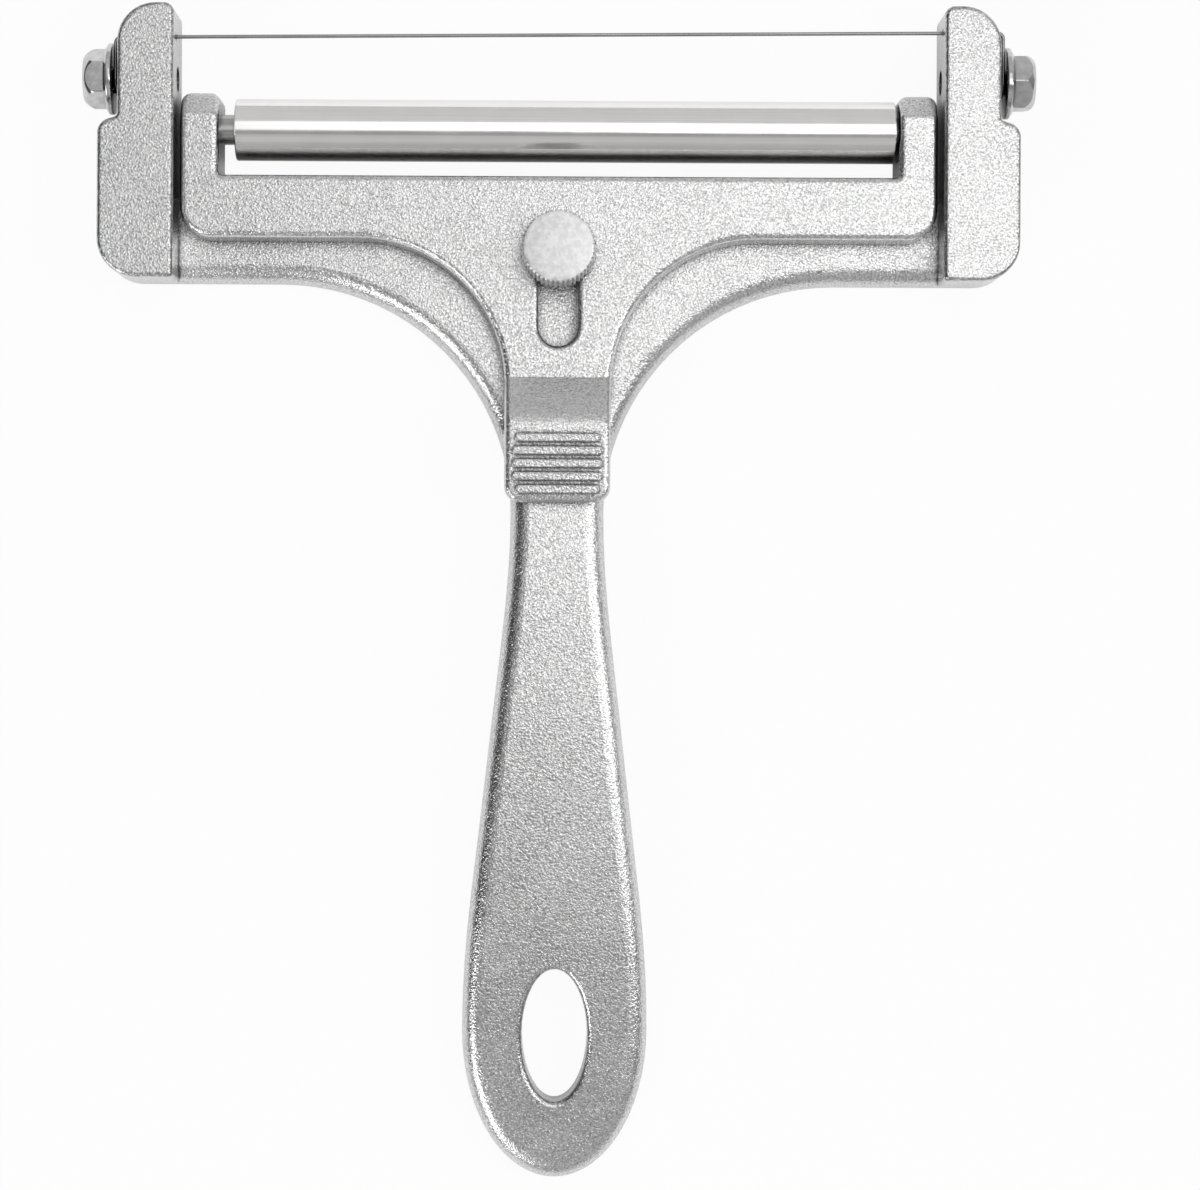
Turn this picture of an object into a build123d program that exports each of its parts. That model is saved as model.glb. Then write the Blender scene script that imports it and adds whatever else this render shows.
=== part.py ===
from build123d import *
import math
import os

os.makedirs("parts", exist_ok=True)

# Adjustable wire cheese slicer, in millimetres, lying on its back.
# X runs across the slicer, Y runs along the handle to the cutting wire and Z points out of the front.
# The origin is on the back plane, in the middle of the slicer's width and length.

# Whole slicer
overall_length = 156.8

# Towers of the frame casting
tower_depth = 10.5
tower_head_width = 7.5
tower_step_width = 2.6
tower_step_fall = 0.8
tower_shoulder_share = 0.75
tower_step_corner_share = 0.2
tower_top_flat = 1.1
tower_inner_radius = 1.3
tower_heel_radius = 0.6
tower_foot_radius = 5.2
tower_edge_round = 0.55

# T plate and neck of the frame casting
plate_thickness = 3.3
plate_root = 4.0
plate_top_drop = 2.6
plate_foot_drop = 5.47
wing_radius = 31.0
neck_half_width = 6.2
casting_edge_round = 2.5
casting_back_round = 0.5

# Handle of the frame casting
handle_half_width = 12.4
handle_end_length = 20.0
handle_root_height = 8.5
handle_middle_height = 8.1
handle_tip_thickness = 3.2
handle_rise_from_tail_end = 4.4
handle_rise_length = 6.0
handle_rise_blend = 4.0
handle_waist_share = 0.32
handle_swell_share = 0.64
handle_waist_width_share = 0.28
handle_swell_width_share = 0.69
hang_hole_width = 8.8
hang_hole_length = 17.9
hang_hole_from_tip = 19.55
hang_hole_front_round = 0.7
recess_depth = 2.6
recess_neck_radius = 2.4
recess_swell_radius = 6.2
recess_neck_drop = 20.0
recess_end_wall = 5.6
recess_round = 1.0

# Cutting wire and its coils
wire_diameter = 0.5
wire_drop = 3.65
wire_slant = 1.15
wire_to_bolt = 5.8
wire_hole_clearance = 0.25
wire_hole_mouth_diameter = 2.6
wire_hole_flare_depth = 1.0
wire_face_clearance = 0.3
wire_flange_clearance = 0.15
wire_bend_radius = 0.8
coil_bolt_clearance = 0.15
coil_turn_gap = 0.5
coil_turns = 2
coil_pocket_clearance = 0.45
coil_pocket_end_clearance = 0.25
gap_check_steps = 600

# Wire bolts
bolt_diameter = 4.0
bolt_end_wall = 0.45
bolt_tap_diameter = 3.3
bolt_thread_clearance = 0.05
bolt_end_chamfer = 0.3
bolt_back_clearance = 0.15
bolt_step_clearance = 0.9
bolt_flange_diameter = 9.5
bolt_flange_thickness = 0.75
bolt_flange_cone = 0.35
bolt_flange_round = 0.2
bolt_head_width = 7.0
bolt_head_height = 3.95
bolt_head_face_diameter = 6.2
bolt_dome_length = 2.3
bolt_corner_clearance = 0.1
bolt_turns = {"left": 33.5, "right": 2.0}

# Carriage casting
carriage_face_height = 8.7
carriage_bar_height = 8.5
carriage_slide_clearance = 0.05
carriage_draft = 1.0
carriage_edge_round = 0.85
carriage_corner_radius = 4.2
carriage_inner_corner_radius = 0.4
carriage_shoulder_radius = 19.5
post_width = 5.3
post_side_clearance = 0.6
post_height_over_axis = 4.75
post_corner_radius = 1.4
post_slope_length = 3.0
post_slope_height = 2.6
post_slope_round = 0.9
post_back_height = 0.4
post_heel_clearance = 0.4
wire_post_gap = 7.73

# Thumb rest at the lower end of the carriage
tail_half_width = 7.15
tail_length = 35.15
tail_corner_radius = 2.2
tail_end_round = 1.2
tail_end_rise = 2.3
tail_lift_clearance = 0.3
tail_rise_clearance = 0.4
tail_foot_clearance = 2.1
crest_from_tail_end = 10.8
crest_rise = 3.0
crest_round = 4.0
ramp_length = 6.0
ramp_foot_round = 0.25
rib_count = 5
rib_pitch = 1.7
rib_width = 1.2
rib_length = 12.1
end_rib_length = 11.3
rib_height = 0.6
rib_sink = 0.6
rib_round = 0.2
rib_end_margin = 1.85

# Roller and axle
roller_diameter = 8.2
roller_length = 88.1
roller_wall = 1.0
roller_chamfer = 0.15
roller_end_play_left = 2.0
roller_end_play_right = 0.3
roller_bar_gap = 2.25
roller_back_clearance = 0.5
bush_length = 7.0
bush_inset = 0.3
axle_diameter = 4.0
axle_running_clearance = 0.05
axle_seat_clearance = 0.01
axle_end_inset = 0.3
axle_end_chamfer = 0.3

# Thumb screw and its slot
knob_drop = 1.73
knob_diameter = 9.7
knob_height = 7.6
knob_knurl_count = 46
knob_knurl_depth = 0.3
knob_face_chamfer = 0.42
knob_foot_chamfer = 0.3
knob_dome = 0.14
stud_diameter = 4.0
stud_depth_in_knob = 5.0
stud_back_inset = 0.3
stud_thread_clearance = 0.05
stud_seat_clearance = 0.01
stud_end_chamfer = 0.3
washer_thickness = 0.5
washer_diameter = 8.8
washer_bore_clearance = 0.08
washer_seat_gap = 0.02
slot_side_clearance = 0.6
slot_top_clearance = 0.4
slot_from_ramp = 4.15
slot_rim_round = 0.7

# One overrun for every cut that has to break through a face
overrun = 2.0

# Places across the slicer, from the roller outwards
post_inner_x = (roller_length + roller_end_play_left + roller_end_play_right) / 2
post_outer_x = post_inner_x + post_width
roller_right_x = post_inner_x - roller_end_play_right
roller_left_x = roller_right_x - roller_length
tower_inner_x = post_outer_x + post_side_clearance
tower_head_x = tower_inner_x + tower_head_width
tower_foot_x = tower_head_x + tower_step_width
coil_start_x = tower_head_x + wire_face_clearance + wire_diameter / 2
flange_x = coil_start_x + wire_diameter / 2 + wire_flange_clearance

# Places along the slicer, from the towers' tops down to the handle's tip
top_y = overall_length / 2
tip_y = -overall_length / 2
wire_y = top_y - wire_drop
bolt_y = wire_y - wire_to_bolt
tower_step_y = bolt_y - bolt_flange_diameter / 2 - bolt_step_clearance
post_top_y = wire_y - wire_post_gap
roller_y = post_top_y - post_height_over_axis
carriage_top_y = roller_y - roller_diameter / 2 - roller_bar_gap
carriage_lower_y = carriage_top_y - carriage_bar_height
knob_y = carriage_lower_y - knob_drop
tail_end_y = carriage_lower_y - tail_length
crest_y = tail_end_y + crest_from_tail_end
ramp_start_y = crest_y + ramp_length
slot_lower_y = ramp_start_y + slot_from_ramp
plate_top_y = carriage_top_y - plate_top_drop
foot_y = carriage_lower_y - plate_foot_drop
neck_y = foot_y - wing_radius
handle_root_y = tail_end_y + handle_rise_from_tail_end
handle_rise_y = handle_root_y + handle_rise_length
handle_swell_y = tip_y + handle_end_length
hang_hole_y = tip_y + hang_hole_from_tip

# Heights over the back plane
bolt_z = bolt_flange_diameter / 2 + bolt_back_clearance
roller_z = roller_diameter / 2 + roller_back_clearance
carriage_base_z = plate_thickness + carriage_slide_clearance
crest_z = carriage_face_height + crest_rise
tail_end_z = carriage_face_height + tail_end_rise
knob_base_z = carriage_face_height + washer_seat_gap + washer_thickness + washer_seat_gap

# Coil of the wire round its bolt
coil_radius = bolt_diameter / 2 + coil_bolt_clearance + wire_diameter / 2
coil_pitch = wire_diameter + coil_turn_gap
wire_z = bolt_z + coil_radius


def mirrored_points(points):
    """Points up the right half, followed by their mirror images down the left half."""
    return points + [(-x, y) for x, y in reversed(points)]


def round_corner(face, place, radius):
    """Flat outline with the corner nearest to a place rounded."""
    corner = min(face.vertices(), key=lambda v: math.hypot(v.X - place[0], v.Y - place[1]))
    return fillet(corner, radius)


def raised(outline, height, draft=0):
    """Outline extruded towards the front, with drafted sides if asked."""
    return extrude(outline, amount=height, dir=(0, 0, 1), taper=draft)


def rounded_face(points, radii):
    """Closed outline with its own radius at every corner."""
    return make_face(FilletPolyline(*points, radius=radii, close=True))


def blunt_polygon(points):
    """Closed outline with plain corners."""
    return make_face(Polyline(*points, close=True))


def side_prism(profile, half_width):
    """Profile drawn as (Y, Z) and run across the slicer, the same way to both sides."""
    return extrude(Plane.YZ * profile, amount=half_width, both=True)


def rod(diameter, x_start, x_end, y, z):
    """Round bar along X."""
    place = Plane(origin=(x_start, y, z), z_dir=(1, 0, 0))
    return extrude(place * Circle(diameter / 2), amount=x_end - x_start)


def front_rim(solid, level, highest_y):
    """Edges between the front and the side walls that cross a level and end below a place along Y."""
    rim = []
    for wall in solid.faces():
        box = wall.bounding_box()
        if box.min.Z < level < box.max.Z and box.max.Y < highest_y:
            rim += [edge for edge in wall.edges() if edge.bounding_box().min.Z > level]
    return rim


def edges_in_window(solid, half_width, lower_y, upper_y, lowest):
    """Edges that lie wholly inside a window and above a height."""
    found = []
    for edge in solid.edges():
        box = edge.bounding_box()
        across = max(-box.min.X, box.max.X) < half_width
        if across and lower_y < box.min.Y and box.max.Y < upper_y and box.min.Z > lowest:
            found.append(edge)
    return found


# Frame casting
def tower(side):
    """End tower with a stepped outer side, on the right (1) or the left (-1)."""
    points = [
        (tower_inner_x, foot_y),
        (tower_foot_x, foot_y),
        (tower_foot_x, tower_step_y - tower_step_fall),
        (tower_head_x, tower_step_y),
        (tower_head_x, top_y),
        (tower_inner_x, top_y),
    ]
    radii = [
        tower_heel_radius,
        tower_foot_radius,
        tower_step_width * tower_shoulder_share,
        tower_step_width * tower_step_corner_share,
        tower_head_width - tower_inner_radius - tower_top_flat,
        tower_inner_radius,
    ]
    block = raised(rounded_face(points, radii), tower_depth)
    rim = block.faces().sort_by(Axis.Z)[-1].edges()
    block = fillet(rim, tower_edge_round)
    block -= wire_end_holes(wire_end_y(side))
    return block if side > 0 else mirror(block, about=Plane.YZ)


def wire_end_y(side):
    """Place of the wire's right (1) or left (-1) end along Y: the taut wire runs a little askew."""
    return wire_y + side * wire_slant / 2


def wire_end_holes(hole_y):
    """Wire hole with its flared mouth, coil pocket and bolt hole of the right tower."""
    wire_hole_diameter = wire_diameter + wire_hole_clearance * 2
    wire_hole = rod(wire_hole_diameter, tower_inner_x - overrun, tower_head_x + overrun, hole_y, wire_z)
    flare_place = Plane(origin=(tower_head_x - wire_hole_flare_depth, hole_y, wire_z), z_dir=(1, 0, 0))
    flare_length = wire_hole_flare_depth + overrun
    widening = (wire_hole_mouth_diameter - wire_hole_diameter) * flare_length / wire_hole_flare_depth
    cone = Cone(wire_hole_diameter / 2, (wire_hole_diameter + widening) / 2, flare_length)
    flare = flare_place * Pos(0, 0, flare_length / 2) * cone
    outer_end_x = tower_head_x + overrun
    pocket_diameter = (coil_radius + coil_pocket_clearance) * 2 + wire_diameter
    coil_end_x = coil_start_x - coil_pitch * coil_turns - wire_diameter / 2
    pocket = rod(pocket_diameter, coil_end_x - coil_pocket_end_clearance, outer_end_x, bolt_y, bolt_z)
    tapped_diameter = bolt_diameter + bolt_thread_clearance * 2
    tapped_end_x = tower_inner_x + bolt_end_wall - bolt_thread_clearance
    tapped = rod(tapped_diameter, tapped_end_x, outer_end_x, bolt_y, bolt_z)
    pilot = rod(bolt_tap_diameter, tower_inner_x - overrun, tower_head_x, bolt_y, bolt_z)
    return [wire_hole, flare, pocket, tapped, pilot]


def frame_outline():
    """T plate, concave wings, neck and handle as one outline."""
    side_x = tower_inner_x + plate_root
    swell = handle_half_width - neck_half_width
    reach = neck_y - handle_swell_y
    waist = (neck_half_width + swell * handle_waist_width_share, neck_y - reach * handle_waist_share)
    belly = (neck_half_width + swell * handle_swell_width_share, neck_y - reach * handle_swell_share)
    top = Line((0, plate_top_y), (side_x, plate_top_y))
    side = Line((side_x, plate_top_y), (side_x, foot_y))
    lower = Line((side_x, foot_y), (neck_half_width + wing_radius, foot_y))
    wing = CenterArc((neck_half_width + wing_radius, neck_y), wing_radius, 90, 90)
    flank = Spline(
        (neck_half_width, neck_y),
        waist,
        belly,
        (handle_half_width, handle_swell_y),
        tangents=[(0, -1), (0, -1)],
    )
    end = EllipticalCenterArc(
        (0, handle_swell_y), handle_half_width, handle_end_length, start_angle=270, arc_size=90
    )
    half = [top, side, lower, wing, flank, end]
    other_half = [mirror(edge, about=Plane.YZ) for edge in half]
    return make_face(Curve() + half + other_half)


def frame_profile():
    """Side view of the thin plate and of the thick handle, which thins in a long arc to its tip."""
    middle = ((handle_root_y + tip_y) / 2, handle_middle_height)
    foot = (handle_rise_y, plate_thickness)
    root = (handle_root_y, handle_root_height)
    back = Polyline(
        (tip_y - overrun, handle_tip_thickness),
        (tip_y - overrun, 0),
        (plate_top_y + overrun, 0),
        (plate_top_y + overrun, plate_thickness),
        foot,
        root,
    )
    face = make_face(back + ThreePointArc(root, middle, (tip_y - overrun, handle_tip_thickness)))
    for corner in (foot, root):
        face = round_corner(face, corner, handle_rise_blend)
    return face


def handle_recess():
    """Shallow cored pocket in the back of the handle."""
    swell_end_y = hang_hole_y + hang_hole_length / 2 + recess_end_wall + recess_swell_radius
    neck_end = Pos(0, neck_y - recess_neck_drop) * Circle(recess_neck_radius)
    swell_end = Pos(0, swell_end_y) * Circle(recess_swell_radius)
    pocket = extrude(make_hull((neck_end + swell_end).edges()), amount=recess_depth)
    return fillet(pocket.faces().sort_by(Axis.Z)[-1].edges(), recess_round)


def frame_casting():
    """Handle, neck, T plate and both towers, cast in one piece."""
    body = raised(frame_outline(), handle_root_height + overrun)
    body = body & side_prism(frame_profile(), tower_foot_x)
    rim = front_rim(body, plate_thickness / 2, plate_top_y - casting_edge_round)
    body = fillet(rim, casting_edge_round)
    body -= extrude(
        Pos(0, hang_hole_y) * Ellipse(hang_hole_width / 2, hang_hole_length / 2),
        amount=handle_root_height + overrun,
    )
    reach = hang_hole_length / 2 + hang_hole_front_round
    rim = edges_in_window(body, reach, hang_hole_y - reach, hang_hole_y + reach, recess_depth)
    body = fillet(rim, hang_hole_front_round)
    body -= handle_recess()
    body += tower(1)
    body += tower(-1)
    back_rim = body.faces().sort_by(Axis.Z)[0].outer_wire().edges()
    body = fillet(back_rim, casting_back_round)
    thread = Pos(0, knob_y) * Circle(stud_diameter / 2 + stud_thread_clearance)
    body -= extrude(thread, amount=plate_thickness + overrun)
    return body


# Carriage casting
def carriage_outline():
    """Bar with two posts above it and the narrow tail below it."""
    points = [
        (tail_half_width, tail_end_y),
        (tail_half_width, carriage_lower_y),
        (post_outer_x, carriage_lower_y),
        (post_outer_x, post_top_y),
        (post_inner_x, post_top_y),
        (post_inner_x, carriage_top_y),
    ]
    radii = [
        tail_corner_radius,
        carriage_shoulder_radius,
        carriage_corner_radius,
        post_corner_radius,
        post_corner_radius,
        carriage_inner_corner_radius,
    ]
    return rounded_face(mirrored_points(points), radii + radii[::-1])


def carriage_profile():
    """Side view: sloped post tops, flat face, ramp up to the thumb rest, which rides over the handle."""
    underside_z = handle_root_height + tail_lift_clearance
    points = [
        (post_top_y, 0),
        (post_top_y, carriage_face_height - post_slope_height),
        (post_top_y - post_slope_length, carriage_face_height),
        (ramp_start_y, carriage_face_height),
        (crest_y, crest_z),
        (tail_end_y, tail_end_z),
        (tail_end_y, underside_z),
        (handle_root_y + tail_rise_clearance, underside_z),
        (handle_rise_y + tail_foot_clearance, carriage_base_z),
        (handle_rise_y + tail_foot_clearance, 0),
    ]
    face = blunt_polygon(points)
    rounds = [post_slope_round, post_slope_round, ramp_foot_round, crest_round, tail_end_round]
    for place, radius in zip(points[1:6], rounds):
        face = round_corner(face, place, radius)
    return face


def thumb_ribs():
    """Raised cross bars with round ends on the thumb rest."""
    slope = math.atan2(crest_z - tail_end_z, crest_from_tail_end)
    ribs = []
    for index in range(rib_count):
        along = rib_end_margin + index * rib_pitch
        top_z = tail_end_z + along * math.tan(slope)
        length = end_rib_length if index in (0, rib_count - 1) else rib_length
        bar = extrude(SlotOverall(length, rib_width), amount=rib_height + rib_sink)
        bar = fillet(bar.faces().sort_by(Axis.Z)[-1].edges(), rib_round)
        place = Location((0, tail_end_y + along, top_z), (math.degrees(slope), 0, 0))
        ribs.append(place * Pos(0, 0, -rib_sink) * bar)
    return ribs


def carriage_casting():
    """Sliding roller bracket with its slot, posts and ribbed thumb rest."""
    outline = carriage_outline()
    rise = crest_z + overrun - carriage_base_z
    body = raised(Pos(0, 0, carriage_base_z) * outline, rise, carriage_draft)
    body = body & side_prism(carriage_profile(), post_outer_x + overrun)
    body = fillet(front_rim(body, carriage_base_z + carriage_edge_round, top_y), carriage_edge_round)
    heel_y = plate_top_y + post_heel_clearance
    heel = raised(Pos(0, 0, post_back_height) * outline, carriage_base_z - post_back_height)
    keep = Pos(0, (heel_y + post_top_y + overrun) / 2, carriage_base_z / 2) * Box(
        post_outer_x * 2 + overrun, post_top_y + overrun - heel_y, carriage_base_z
    )
    body += heel & keep
    slot_width = stud_diameter + slot_side_clearance * 2
    slot_top_y = knob_y + stud_diameter / 2 + slot_top_clearance
    slot_length = slot_top_y - slot_lower_y
    slot = Pos(0, slot_top_y - slot_length / 2) * SlotOverall(slot_length, slot_width, rotation=90)
    body -= extrude(slot, amount=carriage_face_height + overrun)
    lowest = carriage_face_height - slot_rim_round
    lower_y = slot_lower_y - slot_rim_round
    rim = edges_in_window(body, slot_width, lower_y, slot_top_y + slot_rim_round, lowest)
    body = fillet(rim, slot_rim_round)
    body += thumb_ribs()
    seat = axle_diameter / 2 + axle_seat_clearance
    body -= rod(seat * 2, -post_outer_x - overrun, post_outer_x + overrun, roller_y, roller_z)
    return body


# Roller
def roller_tube():
    """Polished tube that rolls on the cheese."""
    tube = rod(roller_diameter, roller_left_x, roller_right_x, roller_y, roller_z)
    ends = tube.faces().sort_by(Axis.X)
    tube = chamfer(ends[0].edges() + ends[-1].edges(), roller_chamfer)
    bore = roller_diameter - roller_wall * 2
    return tube - rod(bore, roller_left_x - overrun, roller_right_x + overrun, roller_y, roller_z)


def roller_bush(x_start):
    """Plain bush held in one end of the tube."""
    outer = roller_diameter - roller_wall * 2 - axle_seat_clearance * 2
    bush = rod(outer, x_start, x_start + bush_length, roller_y, roller_z)
    bore = axle_diameter + axle_running_clearance * 2
    return bush - rod(bore, x_start - overrun, x_start + bush_length + overrun, roller_y, roller_z)


def roller_axle():
    """Fixed axle through both posts."""
    reach = post_outer_x - axle_end_inset
    axle = rod(axle_diameter, -reach, reach, roller_y, roller_z)
    ends = axle.faces().sort_by(Axis.X)
    return chamfer(ends[0].edges() + ends[-1].edges(), axle_end_chamfer)


# Cutting wire
def biarc(start, start_tangent, end, end_tangent):
    """Two arcs that join smoothly and keep the tangents at both ends."""
    chord = end - start
    total = start_tangent + end_tangent
    spread = 2 * (1 - start_tangent.dot(end_tangent))
    along = chord.dot(total)
    reach = (math.sqrt(along * along + spread * chord.dot(chord)) - along) / spread
    first_control = start + start_tangent * reach
    second_control = end - end_tangent * reach
    joint = (first_control + second_control) / 2
    first = TangentArc(start, joint, tangent=start_tangent)
    second = TangentArc(joint, end, tangent=(second_control - first_control).normalized())
    return [first, second]


def coil_point(turn):
    """Centre of the wire after a number of turns of the right coil."""
    angle = turn * 2 * math.pi
    return Vector(
        coil_start_x - coil_pitch * turn,
        bolt_y - coil_radius * math.sin(angle),
        wire_z - coil_radius + coil_radius * math.cos(angle),
    )


def coil_tangent(turn):
    """Direction of the wire there, with plain ends."""
    angle = turn * 2 * math.pi
    climb = coil_pitch / (2 * math.pi)
    if turn in (0, coil_turns):
        climb = 0
    return Vector(-climb, -coil_radius * math.cos(angle), -coil_radius * math.sin(angle)).normalized()


def wire_half(side):
    """Edges from the middle of the wire to the free end of a coil, drawn on the right for both sides."""
    middle = Vector(0, wire_y, wire_z)
    corner = Vector(coil_start_x, wire_end_y(side), wire_z)
    along = (corner - middle).normalized()
    down = Vector(0, -1, 0)
    half_turn = math.radians(along.get_angle(down)) / 2
    setback = wire_bend_radius * math.tan(half_turn)
    bend_start = corner - along * setback
    bend_end = corner + down * setback
    edges = [
        Line(middle, bend_start),
        TangentArc(bend_start, bend_end, tangent=along),
        Line(bend_end, coil_point(0)),
    ]
    quarters = coil_turns * 4
    for quarter in range(quarters):
        start = quarter / 4
        stop = (quarter + 1) / 4
        edges += biarc(coil_point(start), coil_tangent(start), coil_point(stop), coil_tangent(stop))
    tail_end = coil_point(coil_turns) + coil_tangent(coil_turns) * wire_diameter
    edges.append(Line(coil_point(coil_turns), tail_end))
    return edges


def least_self_gap(path, diameter):
    """Least clear distance from the wire to itself, on points along half of it."""
    points = [path.position_at(step / gap_check_steps) for step in range(gap_check_steps + 1)]
    spacing = path.length / gap_check_steps
    skip = int(diameter * 3 / spacing) + 1
    least = min(
        (points[i] - points[j]).length
        for i in range(len(points))
        for j in range(i + skip, len(points))
    )
    return least - diameter


def cutting_wire():
    """Taut wire with a bend and a coil at each end, in one unbroken piece."""
    halves = []
    length = 0
    for side in (1, -1):
        edges = [piece.edge() for piece in wire_half(side)]
        path = Wire(edges)
        length += path.length
        print("cutting wire least gap to itself:", round(least_self_gap(Wire(edges[1:]), wire_diameter), 3))
        start = Plane(origin=(0, wire_y, wire_z), z_dir=edges[0] % 0)
        half = sweep(start * Circle(wire_diameter / 2), path=path)
        halves.append(half if side > 0 else mirror(half, about=Plane.YZ))
    print("cutting wire length:", round(length, 2))
    return halves[0] + halves[1]


# Wire bolts
def bolt_dome(outer_radius):
    """Round body with a domed end that takes the corners off a bolt's hexagon."""
    face_radius = bolt_head_face_diameter / 2
    drop = outer_radius - face_radius
    dome_radius = (bolt_dome_length**2 + drop**2) / (drop * 2)
    half_angle = math.asin(bolt_dome_length / dome_radius) / 2
    shoulder_z = bolt_head_height - bolt_dome_length
    middle = (
        outer_radius - dome_radius * (1 - math.cos(half_angle)),
        shoulder_z + dome_radius * math.sin(half_angle),
    )
    sides = Polyline(
        (face_radius, bolt_head_height),
        (0, bolt_head_height),
        (0, 0),
        (outer_radius, 0),
        (outer_radius, shoulder_z),
    )
    dome = ThreePointArc((outer_radius, shoulder_z), middle, (face_radius, bolt_head_height))
    return revolve(Plane.XZ * make_face(sides + dome), axis=Axis.Z)


def wire_bolt(side):
    """Flanged hexagon bolt that clamps one coil to its tower."""
    turn = bolt_turns["right"] if side > 0 else bolt_turns["left"]
    shank = rod(bolt_diameter, tower_inner_x + bolt_end_wall, flange_x, bolt_y, bolt_z)
    shank = chamfer(shank.faces().sort_by(Axis.X)[0].edges(), bolt_end_chamfer)
    flange_place = Plane(origin=(flange_x, bolt_y, bolt_z), z_dir=(1, 0, 0))
    flange = extrude(flange_place * Circle(bolt_flange_diameter / 2), amount=bolt_flange_thickness)
    flange = fillet(flange.edges(), bolt_flange_round)
    cone_place = Pos(0, 0, bolt_flange_thickness + bolt_flange_cone / 2)
    corner_radius = bolt_head_width / math.sqrt(3)
    cone = flange_place * cone_place * Cone(
        bolt_flange_diameter / 2 - bolt_flange_round, corner_radius, bolt_flange_cone
    )
    hexagon = extrude(
        flange_place * Rot(0, 0, turn) * RegularPolygon(bolt_head_width / 2, 6, major_radius=False),
        amount=bolt_head_height,
    )
    hexagon = hexagon & (flange_place * bolt_dome(corner_radius + bolt_corner_clearance))
    bolt = shank + flange + cone + hexagon
    return bolt if side > 0 else mirror(bolt, about=Plane.YZ)


# Thumb screw
def thumb_knob():
    """Knurled knob with a slightly domed face."""
    points = []
    for index in range(knob_knurl_count * 2):
        radius = knob_diameter / 2 - (knob_knurl_depth if index % 2 else 0)
        angle = math.pi * index / knob_knurl_count
        points.append((radius * math.cos(angle), radius * math.sin(angle)))
    body = extrude(blunt_polygon(points), amount=knob_height)
    radius = knob_diameter / 2
    face_radius = radius - knob_face_chamfer
    shoulder_z = knob_height - knob_dome - knob_face_chamfer
    outline = Polyline(
        (0, knob_height),
        (0, 0),
        (radius - knob_foot_chamfer, 0),
        (radius, knob_foot_chamfer),
        (radius, shoulder_z),
        (face_radius, knob_height - knob_dome),
    )
    dome_radius = (face_radius**2 + knob_dome**2) / (2 * knob_dome)
    half_angle = math.asin(face_radius / dome_radius) / 2
    dome = ThreePointArc(
        (face_radius, knob_height - knob_dome),
        (dome_radius * math.sin(half_angle), knob_height - dome_radius * (1 - math.cos(half_angle))),
        (0, knob_height),
    )
    shaper = revolve(Plane.XZ * make_face(outline + dome), axis=Axis.Z)
    body = body & shaper
    seat = extrude(Circle(stud_diameter / 2 + stud_seat_clearance), amount=stud_depth_in_knob)
    return Pos(0, knob_y, knob_base_z) * (body - seat)


def thumb_stud():
    """Threaded stud from the knob through the slot into the frame."""
    top_z = knob_base_z + stud_depth_in_knob
    outline = Pos(0, knob_y, stud_back_inset) * Circle(stud_diameter / 2)
    stud = extrude(outline, amount=top_z - stud_back_inset)
    return chamfer(stud.faces().sort_by(Axis.Z)[0].edges(), stud_end_chamfer)


def thumb_washer():
    """Flat washer between the knob and the carriage."""
    base_z = carriage_face_height + washer_seat_gap
    ring = Circle(washer_diameter / 2) - Circle(stud_diameter / 2 + washer_bore_clearance)
    return extrude(Pos(0, knob_y, base_z) * ring, amount=washer_thickness)


pieces = {
    "frame_casting": frame_casting(),
    "carriage_casting": carriage_casting(),
    "roller_tube": roller_tube(),
    "roller_bush_left": roller_bush(roller_left_x + bush_inset),
    "roller_bush_right": roller_bush(roller_right_x - bush_inset - bush_length),
    "roller_axle": roller_axle(),
    "cutting_wire": cutting_wire(),
    "wire_bolt_left": wire_bolt(-1),
    "wire_bolt_right": wire_bolt(1),
    "thumb_knob": thumb_knob(),
    "thumb_stud": thumb_stud(),
    "thumb_washer": thumb_washer(),
}
for name, piece in pieces.items():
    export_step(piece, f"parts/{name}.step")
    print(name, "solids", len(piece.solids()), "volume", round(piece.volume, 1))
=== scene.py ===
"""Adjustable wire cheese slicer, dressed in its finishes and lit on a white table.

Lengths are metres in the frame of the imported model: +X to the right end of the wire,
+Y from the handle to the wire and +Z out of the front face.
"""

import logging
import math
from collections.abc import Callable
from dataclasses import dataclass, field
from enum import Enum

import bmesh
import bpy
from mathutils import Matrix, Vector


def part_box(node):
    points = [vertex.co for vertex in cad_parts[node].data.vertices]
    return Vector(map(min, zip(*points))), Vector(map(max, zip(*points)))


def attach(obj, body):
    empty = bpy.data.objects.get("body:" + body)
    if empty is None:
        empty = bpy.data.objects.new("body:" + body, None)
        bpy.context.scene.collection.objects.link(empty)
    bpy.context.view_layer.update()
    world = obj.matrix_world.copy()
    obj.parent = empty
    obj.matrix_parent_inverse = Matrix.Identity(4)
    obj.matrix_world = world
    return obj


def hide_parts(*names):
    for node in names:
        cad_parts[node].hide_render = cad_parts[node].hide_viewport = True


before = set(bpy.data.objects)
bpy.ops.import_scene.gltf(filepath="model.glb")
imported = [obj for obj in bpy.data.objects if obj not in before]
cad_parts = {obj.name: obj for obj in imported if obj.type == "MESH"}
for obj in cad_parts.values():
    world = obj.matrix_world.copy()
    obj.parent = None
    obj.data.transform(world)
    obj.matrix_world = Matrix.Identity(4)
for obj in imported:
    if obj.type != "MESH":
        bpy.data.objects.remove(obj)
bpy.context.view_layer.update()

LOG = logging.getLogger("slicer")
MM = 0.001
FINE_STEPS = 240
PLAIN_STEPS = 96
SMOOTH_STEP = "SMOOTHSTEP"

Colour = tuple[float, float, float]
Span = tuple[float, float]
Inputs = dict[str | int, object]
Radius = Callable[[float], float]


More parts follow.
